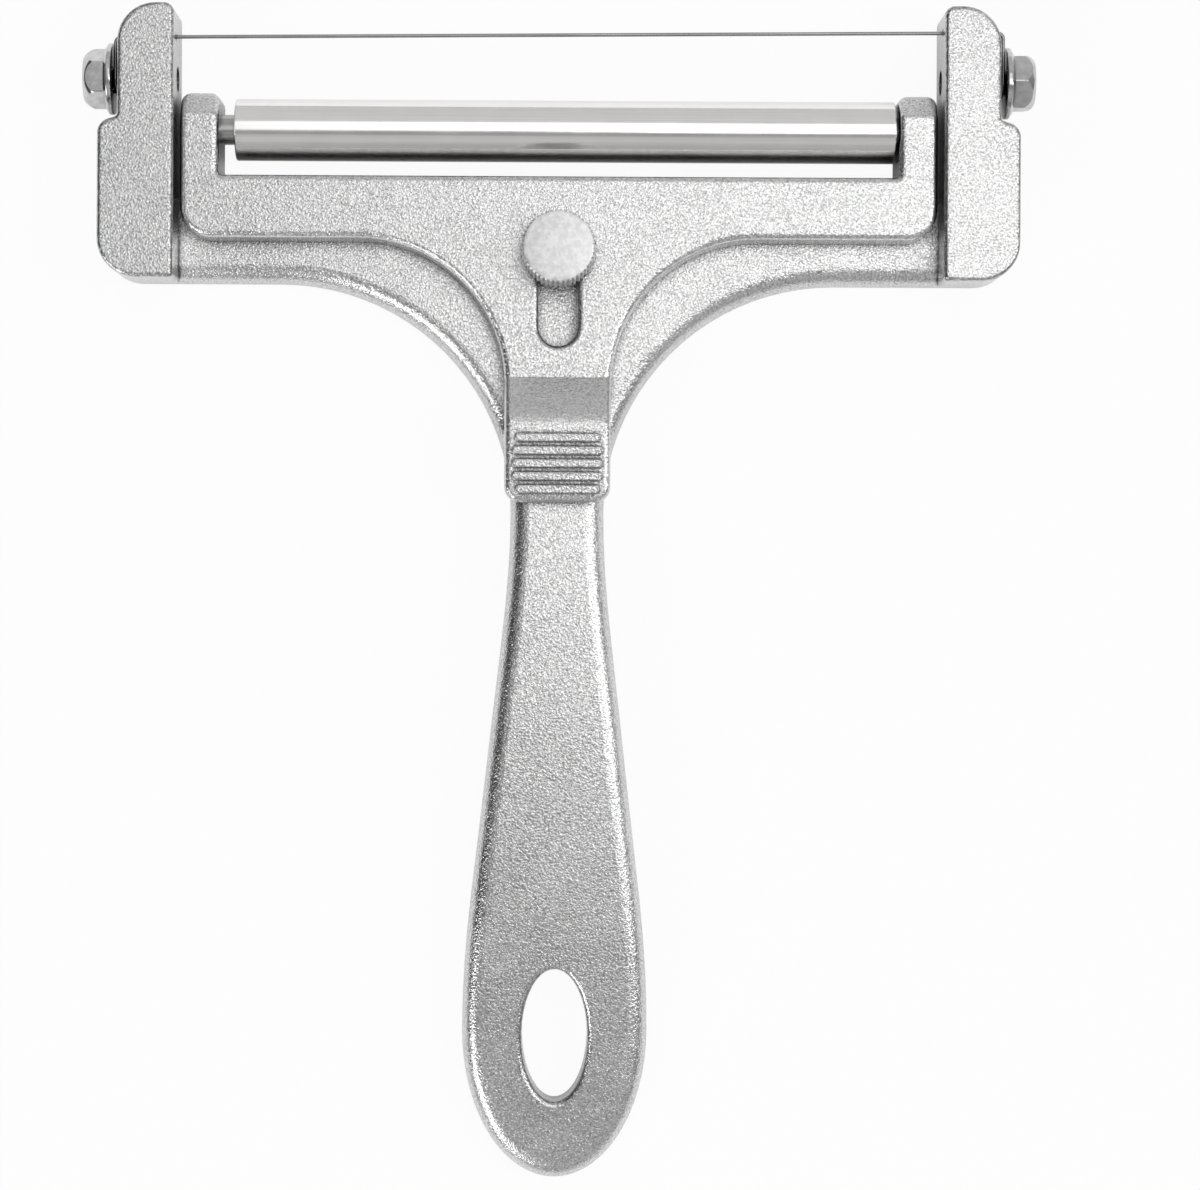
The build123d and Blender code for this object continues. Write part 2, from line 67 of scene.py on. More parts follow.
class Side(Enum):
    """End of the slicer, seen from the front."""

    LEFT = -1
    RIGHT = 1

    @property
    def word(self) -> str:
        """The side's name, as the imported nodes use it."""
        return self.name.lower()


def grey(level: float) -> Colour:
    """A neutral colour of that level."""
    return (level, level, level)


class Sheet:
    """A node tree with short ways to add, set and join its nodes."""

    FLAT_LIKENESS = 0.999
    EDGE_LIKENESS = 0.93
    EDGE_SAMPLES = 4
    GAP_SAMPLES = 6

    def __init__(self, tree: bpy.types.NodeTree) -> None:
        """Start from an empty tree.

        Args:
            tree: the tree to fill.
        """
        self.tree = tree
        tree.nodes.clear()

    def add(self, kind: str, inputs: Inputs | None = None, **settings: object) -> bpy.types.Node:
        """Add a node, set its options and fill or link its inputs.

        Args:
            kind: Blender's name for the node.
            inputs: a value or a socket for each named or numbered input.
            settings: the node's own options.

        Returns:
            The new node.
        """
        node = self.tree.nodes.new(kind)
        for name, value in settings.items():
            setattr(node, name, value)
        for key, value in (inputs or {}).items():
            if isinstance(value, bpy.types.NodeSocket):
                self.tree.links.new(value, node.inputs[key])
            else:
                node.inputs[key].default_value = value
        return node

    def place(self) -> bpy.types.NodeSocket:
        """The point on the surface, in the model's own metres."""
        return self.add("ShaderNodeTexCoord").outputs["Object"]

    def stretched(self, point: bpy.types.NodeSocket, scale: Colour) -> bpy.types.NodeSocket:
        """The point with each axis scaled by its own share."""
        return self.add("ShaderNodeMapping", {"Vector": point, "Scale": scale}).outputs["Vector"]

    def noise(self, point: bpy.types.NodeSocket, scale: float, detail: float = 2.0,
              roughness: float = 0.5, distortion: float = 0.0) -> bpy.types.NodeSocket:
        """Soft random relief.

        Args:
            point: where the noise is read.
            scale: bumps per metre.
            detail: how many finer layers it holds.
            roughness: how strong the finer layers are.
            distortion: how far the bumps are drawn out into worms.

        Returns:
            A value from 0 to 1.
        """
        inputs = {"Vector": point, "Scale": scale, "Detail": detail,
                  "Roughness": roughness, "Distortion": distortion}
        return self.add("ShaderNodeTexNoise", inputs).outputs["Fac"]

    def sums(self, operation: str, first: object, second: object) -> bpy.types.NodeSocket:
        """One step of arithmetic on two values or sockets."""
        return self.add("ShaderNodeMath", {0: first, 1: second}, operation=operation).outputs[0]

    def spread(self, value: bpy.types.NodeSocket, low: float, high: float,
               new_low: float, new_high: float) -> bpy.types.NodeSocket:
        """Carry a value smoothly from one range to another.

        Args:
            value: the value to carry over.
            low: where the first range begins.
            high: where the first range ends.
            new_low: what low becomes.
            new_high: what high becomes.

        Returns:
            The value in the new range.
        """
        inputs = {"Value": value, "From Min": low, "From Max": high,
                  "To Min": new_low, "To Max": new_high}
        node = self.add("ShaderNodeMapRange", inputs, interpolation_type=SMOOTH_STEP)
        return node.outputs["Result"]

    def ramp(self, value: bpy.types.NodeSocket,
             stops: list[tuple[float, Colour]]) -> bpy.types.NodeSocket:
        """Turn a value into a colour.

        Args:
            value: a value from 0 to 1.
            stops: each place on the ramp with its colour, in rising order.

        Returns:
            The colour.
        """
        node = self.add("ShaderNodeValToRGB", {"Fac": value})
        elements = node.color_ramp.elements
        while len(elements) < len(stops):
            elements.new(1.0)
        for element, (position, colour) in zip(elements, stops):
            element.position = position
            element.color = (*colour, 1.0)
        return node.outputs["Color"]

    def bump(self, height: bpy.types.NodeSocket, distance: float) -> bpy.types.NodeSocket:
        """Tilt the surface by a relief.

        Args:
            height: the relief, from 0 to 1.
            distance: how high 1 stands, in metres.

        Returns:
            The tilted normal.
        """
        inputs = {"Height": height, "Distance": distance}
        return self.add("ShaderNodeBump", inputs).outputs["Normal"]

    def edges(self, radius: float) -> bpy.types.NodeSocket:
        """How near the surface is to an edge: 0 on a flat, rising to 1 on the edge itself."""
        bevel = self.add("ShaderNodeBevel", {"Radius": radius}, samples=self.EDGE_SAMPLES)
        rounded = bevel.outputs["Normal"]
        true = self.add("ShaderNodeNewGeometry").outputs["Normal"]
        likeness = self.add("ShaderNodeVectorMath", {0: rounded, 1: true}, operation="DOT_PRODUCT")
        return self.spread(likeness.outputs["Value"],
                           self.FLAT_LIKENESS, self.EDGE_LIKENESS, 0.0, 1.0)

    def openness(self, reach: float) -> bpy.types.NodeSocket:
        """How open the space over the surface is, from 0 to 1.

        Args:
            reach: how far a neighbouring surface counts, in metres.

        Returns:
            The share that is open.
        """
        node = self.add("ShaderNodeAmbientOcclusion", {"Distance": reach},
                        samples=self.GAP_SAMPLES)
        return node.outputs["AO"]

    def crevice_shade(self, reach: float, closed_to_open: Span) -> bpy.types.NodeSocket:
        """How deep the surface lies in a corner or a gap, as a mask for painted shade: 1 in the
        open, falling to 0 inside.

        Args:
            reach: how far a neighbouring surface counts, in metres.
            closed_to_open: openness at which the value is 0, and from which it is 1.

        Returns:
            A value from 0 to 1.
        """
        return self.spread(self.openness(reach), *closed_to_open, 0.0, 1.0)

    def darkened(self, colour: bpy.types.NodeSocket, share: bpy.types.NodeSocket,
                 least: float) -> bpy.types.NodeSocket:
        """A colour brought down where a share is low.

        Args:
            colour: the colour.
            share: 1 leaves the colour as it is, 0 brings it down to the least.
            least: what is left of the colour at 0.

        Returns:
            The new colour.
        """
        factor = self.spread(share, 0.0, 1.0, least, 1.0)
        inputs = {0: colour, "Scale": factor}
        return self.add("ShaderNodeVectorMath", inputs, operation="SCALE").outputs["Vector"]


def surface(name: str) -> tuple[bpy.types.Material, Sheet, bpy.types.Node]:
    """Start a material with its main shader and output.

    Args:
        name: what the material is called.

    Returns:
        The material, its node sheet and its main shader.
    """
    material = bpy.data.materials.new(name)
    material.use_nodes = True
    sheet = Sheet(material.node_tree)
    shader = sheet.add("ShaderNodeBsdfPrincipled")
    sheet.add("ShaderNodeOutputMaterial", {"Surface": shader.outputs["BSDF"]})
    return material, sheet, shader


class Turning:
    """Piece spun round an axis, ring by ring. A ring's radius may change with the angle."""

    MERGE_DISTANCE = 0.0005 * MM
    SHARP_ANGLE = math.radians(24)

    def __init__(self, origin: Vector, along: Vector, up: Vector, steps: int) -> None:
        """Set up the axis.

        Args:
            origin: where the axis starts.
            along: direction of the axis.
            up: direction of angle zero, square to the axis.
            steps: points in each ring.
        """
        self.origin, self.along, self.up = origin, along.normalized(), up.normalized()
        self.across = self.along.cross(self.up)
        self.steps = steps
        self.rings: list[list[Vector]] = []

    def ring(self, place: float | Radius, radius: float | Radius) -> None:
        """Add a ring.

        Args:
            place: distance along the axis, or a function of the angle that gives it.
            radius: radius of the ring, or a function of the angle that gives it.
        """
        points = []
        for step in range(self.steps):
            angle = step / self.steps * math.tau
            reach = radius(angle) if callable(radius) else radius
            far = place(angle) if callable(place) else place
            spoke = self.up * math.cos(angle) + self.across * math.sin(angle)
            points.append(self.origin + self.along * far + spoke * reach)
        self.rings.append(points)

    def run(self, profile: list[tuple[float, float]]) -> None:
        """Add plain rings for each (place, radius) of a profile."""
        for place, radius in profile:
            self.ring(place, radius)

    def build(self, name: str, body: str, material: bpy.types.Material,
              tube: bool = False) -> bpy.types.Object:
        """Join the rings into a mesh that rides on a body.

        Args:
            name: name of the piece.
            body: body of the model that carries it.
            material: its finish.
            tube: join the last ring to the first, instead of closing both ends.

        Returns:
            The piece.
        """
        mesh = bpy.data.meshes.new(name)
        points = [point for ring in self.rings for point in ring]
        count = self.steps
        spans = [(row, row + 1) for row in range(len(self.rings) - 1)]
        spans += [(len(self.rings) - 1, 0)] if tube else []
        faces = []
        for first, second in spans:
            for step in range(count):
                following = (step + 1) % count
                faces.append((first * count + step, first * count + following,
                              second * count + following, second * count + step))
        if not tube:
            last = (len(self.rings) - 1) * count
            faces += [tuple(range(count)), tuple(range(last, last + count))]
        mesh.from_pydata(points, [], faces)
        shape = bmesh.new()
        shape.from_mesh(mesh)
        bmesh.ops.remove_doubles(shape, verts=shape.verts, dist=self.MERGE_DISTANCE)
        bmesh.ops.recalc_face_normals(shape, faces=shape.faces)
        shape.to_mesh(mesh)
        shape.free()
        mesh.shade_smooth()
        mesh.set_sharp_from_angle(angle=self.SHARP_ANGLE)
        mesh.materials.append(material)
        piece = bpy.data.objects.new(name, mesh)
        bpy.context.scene.collection.objects.link(piece)
        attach(piece, body)
        LOG.info("%s made in %s", name, material.name)
        return piece


@dataclass(frozen=True)
class ScrewThread:
    """Thread of a bolt or a stud. Its bevel is the plain start before the first groove."""

    radius: float = 2.0 * MM
    pitch: float = 0.7 * MM
    depth: float = 0.38 * MM
    bevel: float = 0.3 * MM
    rows_per_pitch: int = 8
    flank_slope: float = 2.6
    crest_share: float = 0.15

    def cut(self, turning: Turning, end: float) -> None:
        """Add the thread's rings to a turned piece, from its first end on.

        Args:
            turning: the piece.
            end: where the thread ends along the axis.
        """
        turning.ring(0.0, self.radius - self.depth)
        length = end - self.bevel
        rows = max(2, math.ceil(length / self.pitch * self.rows_per_pitch))
        for row in range(rows + 1):
            place = self.bevel + length * row / rows

            def wave(angle: float, place: float = place) -> float:
                """Radius of the thread at that angle."""
                turn = (place / self.pitch - angle / math.tau) % 1.0
                groove = self.flank_slope * abs(turn - 0.5) - self.crest_share
                return self.radius - self.depth * min(1.0, max(0.0, groove))

            turning.ring(place, wave)


@dataclass(frozen=True)
class CastFinish:
    """Bright silver skin of a casting, with the grain that the mould left on it.

    Scales are bumps per metre. A span holds the two values between which a change takes place.
    The rim shade grain carries the grain's middle range over to how strongly the painted shade on a
    rim darkens it.
    """

    name: str
    pit: Colour = grey(0.46)
    skin: Colour = grey(0.66)
    peak: Colour = grey(0.76)
    tone_places: tuple[float, float, float] = (0.3, 0.5, 0.68)
    grain_scale: float = 3600.0
    grain_height: float = 0.080 * MM
    grain_detail: float = 1.5
    grain_worms: float = 0.6
    cloud_scale: float = 90.0
    cloud_detail: float = 3.0
    cloud_roughness: float = 0.6
    cloud_share: float = 0.25
    cloud_span: Span = (0.35, 0.65)
    smooth: float = 0.18
    rough: float = 0.23
    wear_and_rim_shade_width: float = 0.75 * MM
    wear_gloss: float = 0.06
    wear_calm: float = 0.35
    # Painted shade: the rim fields darken the colour in speckles along edges.
    rim_shade_tone: float = 0.14
    rim_shade_span: Span = (0.05, 0.9)
    rim_shade_grain: tuple[float, float, float, float] = (0.4, 0.6, 1.5, 0.5)
    # Painted shade: the next fields darken the colour in corners and gaps.
    painted_shade_reach: float = 2.2 * MM
    painted_shade_span: Span = (0.25, 0.85)
    painted_shade_tone: float = 0.3

    def material(self) -> bpy.types.Material:
        """Build the finish.

        Returns:
            The material, with grain in its relief, colour and roughness, edge wear in its roughness
            and relief, and painted shade on its rims and in its corners and gaps.
        """
        material, sheet, shader = surface(self.name)
        shader.inputs["Metallic"].default_value = 1.0
        place = sheet.place()
        grain = sheet.noise(place, self.grain_scale, self.grain_detail, distortion=self.grain_worms)
        clouds = sheet.noise(place, self.cloud_scale, self.cloud_detail, self.cloud_roughness)
        # Edge mask: it sets wear in the roughness and relief, and painted shade on the rims.
        wear_and_rim_shade = sheet.edges(self.wear_and_rim_shade_width)
        colour = self.colour(sheet, grain, clouds, wear_and_rim_shade)
        sheet.tree.links.new(colour, shader.inputs["Base Color"])
        gloss = sheet.spread(clouds, *self.cloud_span, self.smooth, self.rough)
        rubbed = sheet.sums("SUBTRACT", gloss, sheet.sums("MULTIPLY", wear_and_rim_shade, self.wear_gloss))
        sheet.tree.links.new(rubbed, shader.inputs["Roughness"])
        calm = sheet.spread(wear_and_rim_shade, 0.0, 1.0, 1.0, self.wear_calm)
        relief = sheet.sums("MULTIPLY", grain, calm)
        sheet.tree.links.new(sheet.bump(relief, self.grain_height), shader.inputs["Normal"])
        return material

    def colour(self, sheet: Sheet, grain: bpy.types.NodeSocket, clouds: bpy.types.NodeSocket,
               wear_and_rim_shade: bpy.types.NodeSocket) -> bpy.types.NodeSocket:
        """Colour of the skin, with painted shade speckled along its rims and painted shade in its
        corners and gaps.

        Args:
            sheet: the material's node sheet.
            grain: the fine grain.
            clouds: the broad change in tone.
            wear_and_rim_shade: how near the surface is to an edge.

        Returns:
            The colour.
        """
        cloudy = sheet.sums("MULTIPLY", sheet.sums("SUBTRACT", clouds, 0.5), self.cloud_share)
        tone = sheet.sums("ADD", grain, cloudy)
        stops = list(zip(self.tone_places, (self.pit, self.skin, self.peak)))
        # Painted shade: the colour is darkened in speckles along the rims.
        speckled = sheet.sums("MULTIPLY", wear_and_rim_shade, sheet.spread(grain, *self.rim_shade_grain))
        inside = sheet.spread(speckled, *self.rim_shade_span, 1.0, 0.0)
        rim_shaded = sheet.darkened(sheet.ramp(tone, stops), inside, self.rim_shade_tone)
        # Painted shade: the colour is darkened in corners and gaps where little is open above it.
        gaps = sheet.crevice_shade(self.painted_shade_reach, self.painted_shade_span)
        return sheet.darkened(rim_shaded, gaps, self.painted_shade_tone)


@dataclass(frozen=True)
class LinedFinish:
    """Bare metal that was polished, drawn or turned and shows fine lines or an even grain.

    The lines hold the bumps per metre along each axis, so a small number draws them out.
    """

    name: str
    dark: Colour
    light: Colour
    lines: Colour
    line_height: float
    smooth: float
    rough: float
    line_detail: float = 3.0
    line_roughness: float = 0.6
    mottle: float = 0.92
    smear_scale: float = 220.0
    smear_detail: float = 4.0
    smear_roughness: float = 0.6
    tone_span: Span = (0.3, 0.7)
    # Painted shade: the next fields darken the colour in corners and gaps.
    painted_shade_reach: float = 1.6 * MM
    painted_shade_span: Span = (0.2, 0.8)
    painted_shade_tone: float = 0.25

    def material(self) -> bpy.types.Material:
        """Build the finish.

        Returns:
            The material, with lines in its relief, colour and roughness, and painted shade in its
            corners and gaps.
        """
        material, sheet, shader = surface(self.name)
        shader.inputs["Metallic"].default_value = 1.0
        place = sheet.place()
        lines = sheet.noise(sheet.stretched(place, self.lines), 1.0,
                            self.line_detail, self.line_roughness)
        smears = sheet.noise(place, self.smear_scale, self.smear_detail, self.smear_roughness)
        tone = sheet.ramp(lines, list(zip(self.tone_span, (self.dark, self.light))))
        mottled = sheet.darkened(tone, sheet.spread(smears, *self.tone_span, 0.0, 1.0), self.mottle)
        # Painted shade: the colour is darkened in corners and gaps where little is open above it.
        gaps = sheet.crevice_shade(self.painted_shade_reach, self.painted_shade_span)
        shaded = sheet.darkened(mottled, gaps, self.painted_shade_tone)
        sheet.tree.links.new(shaded, shader.inputs["Base Color"])
        gloss = sheet.spread(smears, *self.tone_span, self.smooth, self.rough)
        sheet.tree.links.new(gloss, shader.inputs["Roughness"])
        sheet.tree.links.new(sheet.bump(lines, self.line_height), shader.inputs["Normal"])
        return material


@dataclass(frozen=True)
class PlasticFinish:
    """Plain moulded plastic with a faint orange peel."""

    name: str
    dark: Colour
    light: Colour
    roughness: float = 0.5
    roughness_play: float = 0.06
    peel_scale: float = 1800.0
    peel_detail: float = 2.0
    peel_height: float = 0.01 * MM
    tone_span: Span = (0.35, 0.65)
    gloss_span: Span = (0.3, 0.7)

    def material(self) -> bpy.types.Material:
        """Build the finish.

        Returns:
            The material, with fine grain in its relief, colour and roughness.
        """
        material, sheet, shader = surface(self.name)
        peel = sheet.noise(sheet.place(), self.peel_scale, self.peel_detail)
        tone = sheet.ramp(peel, list(zip(self.tone_span, (self.dark, self.light))))
        sheet.tree.links.new(tone, shader.inputs["Base Color"])
        least, most = self.roughness - self.roughness_play, self.roughness + self.roughness_play
        gloss = sheet.spread(peel, *self.gloss_span, least, most)
        sheet.tree.links.new(gloss, shader.inputs["Roughness"])
        sheet.tree.links.new(sheet.bump(peel, self.peel_height), shader.inputs["Normal"])
        return material


def dress(node: str, material: bpy.types.Material) -> None:
    """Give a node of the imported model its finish.

    Args:
        node: the node's name.
        material: its new material.
    """
    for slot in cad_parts[node].material_slots:
        slot.material = material
    LOG.info("%s wears %s", node, material.name)


def node_box(node: str) -> tuple[Vector, Vector, Vector]:
    """Lowest corner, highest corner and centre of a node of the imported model.

    Args:
        node: the node's name.

    Returns:
        The three points.
    """
    low, high = (Vector(corner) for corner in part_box(node))
    return low, high, (low + high) / 2


@dataclass
class CastFrame:
    """Handle, neck, plate and towers in one casting."""

    finish: CastFinish = CastFinish("silver_frame_casting")

    def build(self) -> None:
        """Dress the casting."""
        dress("frame_casting", self.finish.material())


@dataclass
class Carriage:
    """Roller bracket that slides on the plate, with the roller's axle."""

    # Its painted rim shade is narrower and lighter than the frame's.
    finish: CastFinish = CastFinish(
        "silver_carriage_casting", wear_and_rim_shade_width=0.5 * MM, rim_shade_tone=0.28)
    axle_chamfer: float = 0.3 * MM
    axle_finish: LinedFinish = LinedFinish(
        "drawn_axle_steel", dark=grey(0.42), light=grey(0.58), lines=(60.0, 6000.0, 6000.0),
        line_height=0.002 * MM, smooth=0.22, rough=0.3)

    def build(self) -> None:
        """Dress the casting and turn the axle."""
        dress("carriage_casting", self.finish.material())
        self.turn_axle()

    def turn_axle(self) -> None:
        """Turn the axle that is fixed in both posts."""
        low, high, centre = node_box("roller_axle")
        radius, length, bevel = (high.y - low.y) / 2, high.x - low.x, self.axle_chamfer
        start = Vector((low.x, centre.y, centre.z))
        axle = Turning(start, Vector((1, 0, 0)), Vector((0, 0, 1)), PLAIN_STEPS)
        axle.run([(0.0, radius - bevel), (bevel, radius),
                  (length - bevel, radius), (length, radius - bevel)])
        piece = axle.build("axle_rod", "carriage", self.axle_finish.material())
        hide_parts("roller_axle")


@dataclass
class Roller:
    """Polished tube on two plastic bushes."""

    wall: float = 1.0 * MM
    chamfer: float = 0.15 * MM
    tube_finish: LinedFinish = LinedFinish(
        "polished_roller_tube", dark=(0.86, 0.85, 0.84), light=(0.94, 0.93, 0.92),
        lines=(25.0, 5000.0, 5000.0), line_height=0.0008 * MM, smooth=0.13, rough=0.17,
        # Painted shade: a long reach darkens the tube beside the posts and the carriage bar.
        mottle=0.97, painted_shade_reach=5.0 * MM, painted_shade_tone=0.25)
    bush_finish: PlasticFinish = PlasticFinish(
        "dark_bush_plastic", dark=grey(0.02), light=grey(0.035))

    def build(self) -> None:
        """Turn the tube and dress its bushes."""
        self.turn_tube()
        plastic = self.bush_finish.material()
        for side in Side:
            dress(f"roller_bush_{side.word}", plastic)

    def turn_tube(self) -> None:
        """Turn the tube with a fine bevel at both ends."""
        low, high, centre = node_box("roller_tube")
        radius, length, bevel = (high.y - low.y) / 2, high.x - low.x, self.chamfer
        bore = radius - self.wall
        start = Vector((low.x, centre.y, centre.z))
        tube = Turning(start, Vector((1, 0, 0)), Vector((0, 0, 1)), FINE_STEPS)
        tube.run([(0.0, bore), (0.0, radius - bevel), (bevel, radius), (length - bevel, radius),
                  (length, radius - bevel), (length, bore)])
        piece = tube.build("roller_barrel", "roller", self.tube_finish.material(), tube=True)
        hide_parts("roller_tube")


@dataclass
class WireSet:
    """Cutting wire and the two bolts that hold its coiled ends.

    The dome reach is the radius at which the dome would leave the head's side, and the face
    radius is that of its flat end. A turn is the angle of one corner of the hexagon.
    """

    head_height: float = 3.95 * MM
    head_width: float = 7.0 * MM
    corner_trim: float = 0.05 * MM
    face_radius: float = 3.1 * MM
    dome_length: float = 2.3 * MM
    dome_reach: float = 4.141 * MM
    flange_thickness: float = 0.75 * MM
    flange_cone: float = 0.35 * MM
    flange_round: float = 0.2 * MM
    flange_radius: float = 4.75 * MM
    round_steps: int = 6
    side_rings: tuple[float, ...] = (0.0, 0.35, 0.7, 1.0)
    dome_rings: int = 8
    thread: ScrewThread = ScrewThread()
    turns: dict[Side, float] = field(
        default_factory=lambda: {Side.LEFT: math.radians(33.5), Side.RIGHT: math.radians(2.0)})
    wire_finish: LinedFinish = LinedFinish(
        "drawn_cutting_wire", dark=grey(0.30), light=grey(0.46), lines=(80.0, 9000.0, 9000.0),
        line_height=0.001 * MM, smooth=0.2, rough=0.3)
    bolt_finish: LinedFinish = LinedFinish(
        "plated_bolt_steel", dark=grey(0.52), light=grey(0.70), lines=(900.0, 900.0, 900.0),
        line_height=0.004 * MM, smooth=0.09, rough=0.15)

    def build(self) -> None:
        """Dress the wire and make its bolts."""
        dress("cutting_wire", self.wire_finish.material())
        plated = self.bolt_finish.material()
        for side in Side:
            self.make_bolt(side, plated)

    def make_bolt(self, side: Side, material: bpy.types.Material) -> None:
        """Make one flanged hexagon bolt, from the end of its thread to its domed head.

        Args:
            side: the end of the slicer that it sits in.
            material: its finish.
        """
        node = f"wire_bolt_{side.word}"
        low, high, centre = node_box(node)
        outward = side.value
        flange = high.x - low.x - self.head_height
        start = Vector((low.x if outward > 0 else high.x, centre.y, centre.z))
        bolt = Turning(start, Vector((outward, 0, 0)), Vector((0, 0, 1)), FINE_STEPS)
        self.thread.cut(bolt, flange)
        self.flange_rings(bolt, flange)
        self.head_rings(bolt, flange, self.turns[side] * outward)
        piece = bolt.build(f"flanged_bolt_{side.word}", "frame", material)
        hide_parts(node)

    def flange_rings(self, bolt: Turning, start: float) -> None:
        """Add the flange, with a rounded rim and a low cone up to the hexagon.

        Args:
            bolt: the bolt so far.
            start: where the flange starts along the bolt.
        """
        corner = self.flange_round
        quarter = math.pi / 2
        bolt.ring(start, self.thread.radius)
        outer = start + self.flange_thickness - corner
        for middle, first in ((start + corner, -quarter), (outer, 0.0)):
            for step in range(self.round_steps + 1):
                angle = first + quarter * step / self.round_steps
                bolt.ring(middle + corner * math.sin(angle),
                          self.flange_radius - corner + corner * math.cos(angle))
        bolt.ring(start + self.flange_thickness + self.flange_cone, self.head_width / math.sqrt(3))

    def head_rings(self, bolt: Turning, start: float, turn: float) -> None:
        """Add the hexagon and the dome that takes its corners off.

        Args:
            bolt: the bolt so far.
            start: where the flange starts along the bolt.
            turn: angle of one corner of the hexagon.
        """
        half = self.head_width / 2
        corner = self.head_width / math.sqrt(3) - self.corner_trim
        drop = self.dome_reach - self.face_radius
        dome = (self.dome_length ** 2 + drop ** 2) / (2 * drop)
        dome_middle = self.dome_reach - dome
        shoulder = start + self.head_height - self.dome_length
        foot = start + self.flange_thickness + self.flange_cone
        top = start + self.head_height

        def side_radius(angle: float) -> float:
            """Radius of the hexagon with its sharp corners just trimmed."""
            from_flat = (angle - turn) % (math.pi / 3) - math.pi / 6
            return min(half / math.cos(from_flat), corner)

        def crest(angle: float) -> float:
            """Place where the dome meets the side of the hexagon."""
            return shoulder + math.sqrt(dome ** 2 - (side_radius(angle) - dome_middle) ** 2)

        for share in self.side_rings:
            bolt.ring(lambda angle, share=share: foot + (crest(angle) - foot) * share, side_radius)
        for row in range(1, self.dome_rings + 1):
            def rise(angle: float, row: int = row) -> float:
                """Place of this row between the crest and the end face."""
                return crest(angle) + (top - crest(angle)) * row / self.dome_rings

            def cap(angle: float, rise: Radius = rise) -> float:
                """Radius of the dome at this row."""
                height = rise(angle) - shoulder
                return dome_middle + math.sqrt(max(0.0, dome ** 2 - height ** 2))

            bolt.ring(rise, cap)


@dataclass
class ThumbScrew:
    """Knurled knob on a stud, with the washer under it."""

    knurls: int = 46
    knurl_depth: float = 0.3 * MM
    foot_bevel: float = 0.3 * MM
    face_bevel: float = 0.42 * MM
    dome: float = 0.14 * MM
    steps_per_knurl: int = 10
    groove_narrowness: float = 1.4
    side_rings: tuple[float, ...] = (0.0, 0.5, 1.0)
    bevel_rings: int = 4
    dome_rings: int = 10
    thread: ScrewThread = ScrewThread()
    knob_finish: LinedFinish = LinedFinish(
        "satin_knob_metal", dark=grey(0.78), light=grey(0.92), lines=(1900.0, 1900.0, 1900.0),
        line_height=0.012 * MM, smooth=0.38, rough=0.5, mottle=0.74, smear_scale=900.0)
    stud_finish: LinedFinish = LinedFinish(
        "plated_stud_steel", dark=grey(0.5), light=grey(0.64), lines=(900.0, 900.0, 900.0),
        line_height=0.004 * MM, smooth=0.2, rough=0.3)

    def build(self) -> None:
        """Make the knob and its stud, and dress the washer."""
        self.make_knob()
        plated = self.stud_finish.material()
        self.make_stud(plated)
        dress("thumb_washer", plated)

    def make_knob(self) -> None:
        """Make the knob with its ring of knurls and its domed face."""
        low, high, centre = node_box("thumb_knob")
        radius, top = (high.x - low.x) / 2, high.z - low.z
        start = Vector((centre.x, centre.y, low.z))
        steps = self.knurls * self.steps_per_knurl
        knob = Turning(start, Vector((0, 0, 1)), Vector((1, 0, 0)), steps)

        def knurl(angle: float) -> float:
            """Radius over the knurls."""
            wave = 0.5 - 0.5 * math.cos(angle * self.knurls)
            return radius - self.knurl_depth * wave ** self.groove_narrowness

        face = radius - self.face_bevel
        shoulder = top - self.dome - self.face_bevel
        knob.ring(0.0, radius - self.foot_bevel - self.knurl_depth)
        knob.ring(0.0, lambda angle: min(knurl(angle), radius - self.foot_bevel))
        for share in self.side_rings:
            knob.ring(self.foot_bevel + (shoulder - self.foot_bevel) * share, knurl)
        for step in range(1, self.bevel_rings + 1):
            bend = math.pi / 2 * step / self.bevel_rings
            limit = radius - self.face_bevel * (1 - math.cos(bend))
            place = shoulder + self.face_bevel * math.sin(bend)
            knob.ring(place, lambda angle, limit=limit: min(knurl(angle), limit))
        for step in range(1, self.dome_rings):
            share = 1 - step / self.dome_rings
            knob.ring(top - self.dome * share ** 2, face * share)
        piece = knob.build("knurled_knob", "thumb_screw", self.knob_finish.material())
        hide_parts("thumb_knob")

    def make_stud(self, material: bpy.types.Material) -> None:
        """Make the threaded stud.

        Args:
            material: its finish.
        """
        low, high, centre = node_box("thumb_stud")
        start = Vector((centre.x, centre.y, low.z))
        stud = Turning(start, Vector((0, 0, 1)), Vector((1, 0, 0)), PLAIN_STEPS)
        self.thread.cut(stud, high.z - low.z)
        piece = stud.build("threaded_stud", "thumb_screw", material)
        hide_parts("thumb_stud")


